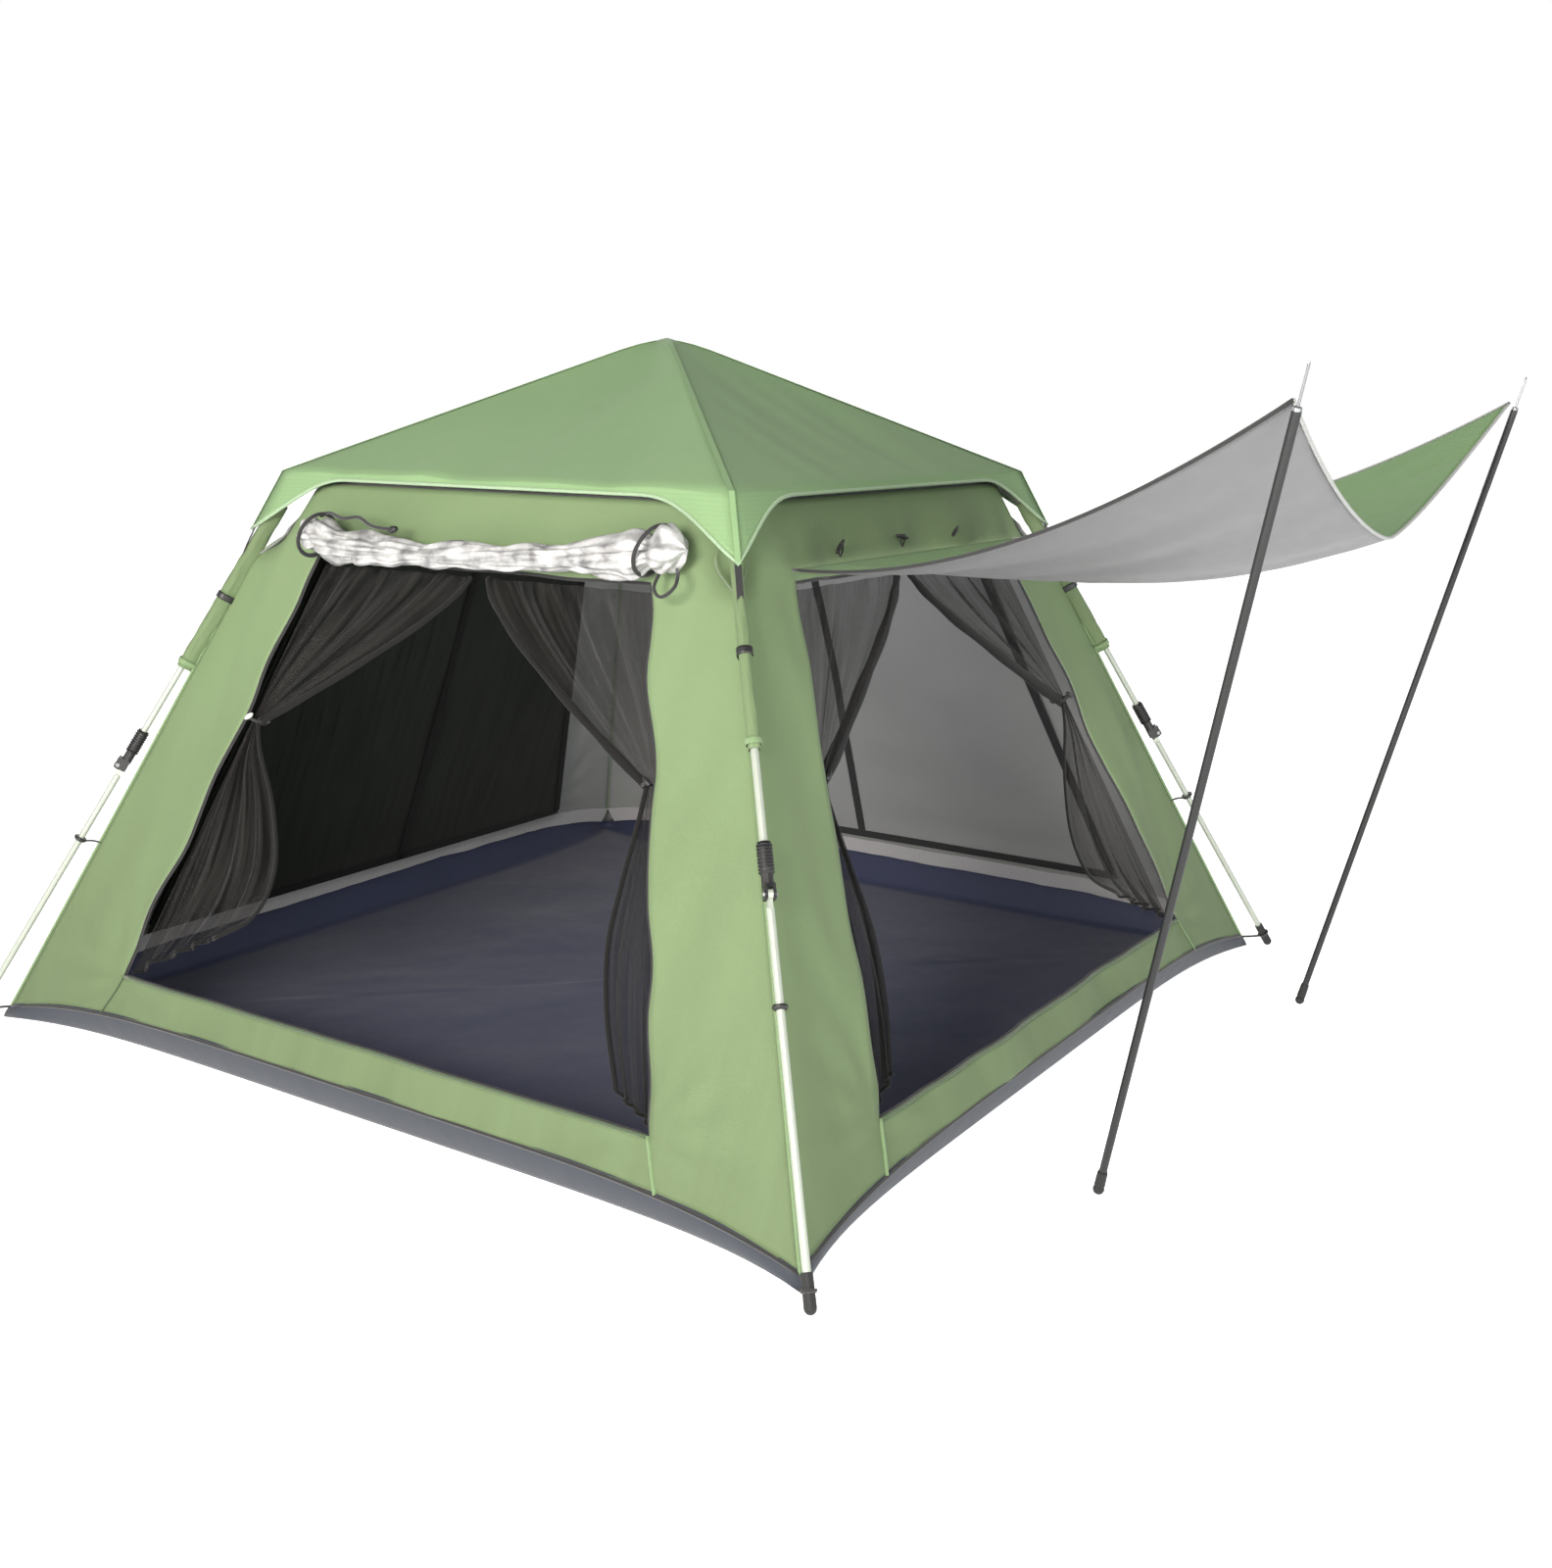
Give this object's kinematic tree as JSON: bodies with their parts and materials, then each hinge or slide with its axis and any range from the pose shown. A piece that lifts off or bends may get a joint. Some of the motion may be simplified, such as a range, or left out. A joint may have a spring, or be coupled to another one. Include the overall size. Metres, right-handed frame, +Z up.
{
  "type": "pop up tent",
  "caption": "Square instant camping tent with external folding leg poles, a low pyramid fly, a rolled-up side door and a front door flap held up as an awning on two poles.",
  "frame": {"origin": "on the ground under the centre of the square floor", "axes": "+Z up, -Y the front with the awning, -X the side with the rolled-up door"},
  "size_m": [2.5142, 3.1232, 1.7],
  "materials": {
    "roof_green": "coated polyester, matt",
    "wall_green": "coated polyester, matt",
    "groundsheet": "woven polyethylene, matt",
    "mesh": "fine mosquito mesh",
    "silver_lining": "silver-coated polyester, soft sheen",
    "grey_lining": "grey coated polyester",
    "pole_alloy": "pale satin",
    "joint_black": "moulded nylon",
    "awning_pole_black": "black paint",
    "steel": "plain",
    "rubber_tip": "matt"
  },
  "bodies": {
    "shell": {"groundsheet": "groundsheet", "wall_front": "wall_green", "wall_right": "wall_green", "wall_back": "wall_green", "wall_left": "wall_green", "door_panel_right": "wall_green", "door_panel_back": "wall_green", "curtain_front_a": "mesh", "curtain_front_b": "mesh", "curtain_left_a": "mesh", "curtain_left_b": "mesh", "door_roll": "silver_lining", "roof_fly": "roof_green", "roof_liner": "grey_lining"},
    "awning": {"awning": "wall_green"},
    "hub": {"hub_body": "joint_black", "hub_cap": "joint_black"},
    "roof_arm_fl": {"roof_pole_fl": "pole_alloy", "shoulder_fork_fl": "joint_black", "shoulder_pin_fl": "steel"},
    "upper_leg_fl": {"upper_leg_fl": "pole_alloy", "knee_fork_fl": "joint_black", "knee_pin_fl": "steel"},
    "lower_leg_fl": {"lower_leg_fl": "pole_alloy", "foot_fl": "joint_black"},
    "roof_arm_fr": {"roof_pole_fr": "pole_alloy", "shoulder_fork_fr": "joint_black", "shoulder_pin_fr": "steel"},
    "upper_leg_fr": {"upper_leg_fr": "pole_alloy", "knee_fork_fr": "joint_black", "knee_pin_fr": "steel"},
    "lower_leg_fr": {"lower_leg_fr": "pole_alloy", "foot_fr": "joint_black"},
    "roof_arm_br": {"roof_pole_br": "pole_alloy", "shoulder_fork_br": "joint_black", "shoulder_pin_br": "steel"},
    "upper_leg_br": {"upper_leg_br": "pole_alloy", "knee_fork_br": "joint_black", "knee_pin_br": "steel"},
    "lower_leg_br": {"lower_leg_br": "pole_alloy", "foot_br": "joint_black"},
    "roof_arm_bl": {"roof_pole_bl": "pole_alloy", "shoulder_fork_bl": "joint_black", "shoulder_pin_bl": "steel"},
    "upper_leg_bl": {"upper_leg_bl": "pole_alloy", "knee_fork_bl": "joint_black", "knee_pin_bl": "steel"},
    "lower_leg_bl": {"lower_leg_bl": "pole_alloy", "foot_bl": "joint_black"},
    "pole_base_left": {"awning_pole_tip_left": "rubber_tip"},
    "awning_pole_left": {"awning_pole_left": "awning_pole_black", "awning_pole_sleeve_left": "rubber_tip", "awning_spike_left": "steel"},
    "pole_base_right": {"awning_pole_tip_right": "rubber_tip"},
    "awning_pole_right": {"awning_pole_right": "awning_pole_black", "awning_pole_sleeve_right": "rubber_tip", "awning_spike_right": "steel"}
  },
  "joints": [
    {"name": "hub_drop", "type": "slide", "parent": "shell", "child": "hub", "axis": [0, 0, -1], "range_m": [0, 1.5], "deforming": ["wall_front", "wall_right", "wall_back", "wall_left", "door_panel_right", "door_panel_back", "curtain_front_a", "curtain_front_b", "curtain_left_a", "curtain_left_b", "door_roll", "roof_fly", "roof_liner", "awning"]},
    {"name": "awning_flap", "type": "hinge", "parent": "shell", "child": "awning", "pos_m": [0, -0.722, 1.196], "axis": [-1, 0, 0], "range_deg": [-70, 0]},
    {"name": "hub_hinge_fl", "type": "hinge", "parent": "hub", "child": "roof_arm_fl", "pos_m": [-0.03535, -0.03535, 1.65], "axis": [-0.7071, 0.7071, 0], "range_deg": [0, 19]},
    {"name": "shoulder_fl", "type": "hinge", "parent": "roof_arm_fl", "child": "upper_leg_fl", "pos_m": [-0.64983, -0.64983, 1.346], "axis": [-0.7071, 0.7071, 0], "range_deg": [0, 38.1]},
    {"name": "knee_fl", "type": "hinge", "parent": "upper_leg_fl", "child": "lower_leg_fl", "pos_m": [-0.97256, -0.97256, 0.64538], "axis": [-0.7071, 0.7071, 0], "range_deg": [0, 175.1]},
    {"name": "hub_hinge_fr", "type": "hinge", "parent": "hub", "child": "roof_arm_fr", "pos_m": [0.03535, -0.03535, 1.65], "axis": [-0.7071, -0.7071, 0], "range_deg": [0, 19]},
    {"name": "shoulder_fr", "type": "hinge", "parent": "roof_arm_fr", "child": "upper_leg_fr", "pos_m": [0.64983, -0.64983, 1.346], "axis": [-0.7071, -0.7071, 0], "range_deg": [0, 38.1]},
    {"name": "knee_fr", "type": "hinge", "parent": "upper_leg_fr", "child": "lower_leg_fr", "pos_m": [0.97256, -0.97256, 0.64538], "axis": [-0.7071, -0.7071, 0], "range_deg": [0, 175.1]},
    {"name": "hub_hinge_br", "type": "hinge", "parent": "hub", "child": "roof_arm_br", "pos_m": [0.03535, 0.03535, 1.65], "axis": [0.7071, -0.7071, 0], "range_deg": [0, 19]},
    {"name": "shoulder_br", "type": "hinge", "parent": "roof_arm_br", "child": "upper_leg_br", "pos_m": [0.64983, 0.64983, 1.346], "axis": [0.7071, -0.7071, 0], "range_deg": [0, 38.1]},
    {"name": "knee_br", "type": "hinge", "parent": "upper_leg_br", "child": "lower_leg_br", "pos_m": [0.97256, 0.97256, 0.64538], "axis": [0.7071, -0.7071, 0], "range_deg": [0, 175.1]},
    {"name": "hub_hinge_bl", "type": "hinge", "parent": "hub", "child": "roof_arm_bl", "pos_m": [-0.03535, 0.03535, 1.65], "axis": [0.7071, 0.7071, 0], "range_deg": [0, 19]},
    {"name": "shoulder_bl", "type": "hinge", "parent": "roof_arm_bl", "child": "upper_leg_bl", "pos_m": [-0.64983, 0.64983, 1.346], "axis": [0.7071, 0.7071, 0], "range_deg": [0, 38.1]},
    {"name": "knee_bl", "type": "hinge", "parent": "upper_leg_bl", "child": "lower_leg_bl", "pos_m": [-0.97256, 0.97256, 0.64538], "axis": [0.7071, 0.7071, 0], "range_deg": [0, 175.1]},
    {"name": "pole_base_fold_left", "type": "hinge", "parent": "shell", "child": "pole_base_left", "pos_m": [-0.533, -1.475, 0.012], "axis": [1, 0, 0], "range_deg": [0, 76.1]},
    {"name": "pole_lay_left", "type": "hinge", "parent": "pole_base_left", "child": "awning_pole_left", "pos_m": [-0.533, -1.475, 0.012], "axis": [-0.0007, -0.9715, -0.237], "range_deg": [0, 78.89]},
    {"name": "pole_base_fold_right", "type": "hinge", "parent": "shell", "child": "pole_base_right", "pos_m": [0.8, -1.475, 0.012], "axis": [1, 0, 0], "range_deg": [0, 76.1]},
    {"name": "pole_lay_right", "type": "hinge", "parent": "pole_base_right", "child": "awning_pole_right", "pos_m": [0.8, -1.475, 0.012], "axis": [-0.0007, 0.9715, 0.2369], "range_deg": [0, 88.41]}
  ],
  "couplings": [
    {"joint": "hub_hinge_fl", "follows": "hub_drop", "rad_per_m": 0.21991},
    {"joint": "shoulder_fl", "follows": "hub_drop", "rad_per_m": 0.44215},
    {"joint": "knee_fl", "follows": "hub_drop", "rad_per_m": 2.0362},
    {"joint": "hub_hinge_fr", "follows": "hub_drop", "rad_per_m": 0.21991},
    {"joint": "shoulder_fr", "follows": "hub_drop", "rad_per_m": 0.44215},
    {"joint": "knee_fr", "follows": "hub_drop", "rad_per_m": 2.0362},
    {"joint": "hub_hinge_br", "follows": "hub_drop", "rad_per_m": 0.21991},
    {"joint": "shoulder_br", "follows": "hub_drop", "rad_per_m": 0.44215},
    {"joint": "knee_br", "follows": "hub_drop", "rad_per_m": 2.0362},
    {"joint": "hub_hinge_bl", "follows": "hub_drop", "rad_per_m": 0.21991},
    {"joint": "shoulder_bl", "follows": "hub_drop", "rad_per_m": 0.44215},
    {"joint": "knee_bl", "follows": "hub_drop", "rad_per_m": 2.0362},
    {"joint": "pole_base_fold_left", "follows": "hub_drop", "rad_per_m": 0.8843},
    {"joint": "pole_lay_left", "follows": "awning_flap", "ratio": -1.1255},
    {"joint": "pole_base_fold_right", "follows": "hub_drop", "rad_per_m": 0.8843},
    {"joint": "pole_lay_right", "follows": "awning_flap", "ratio": -1.2616}
  ]
}
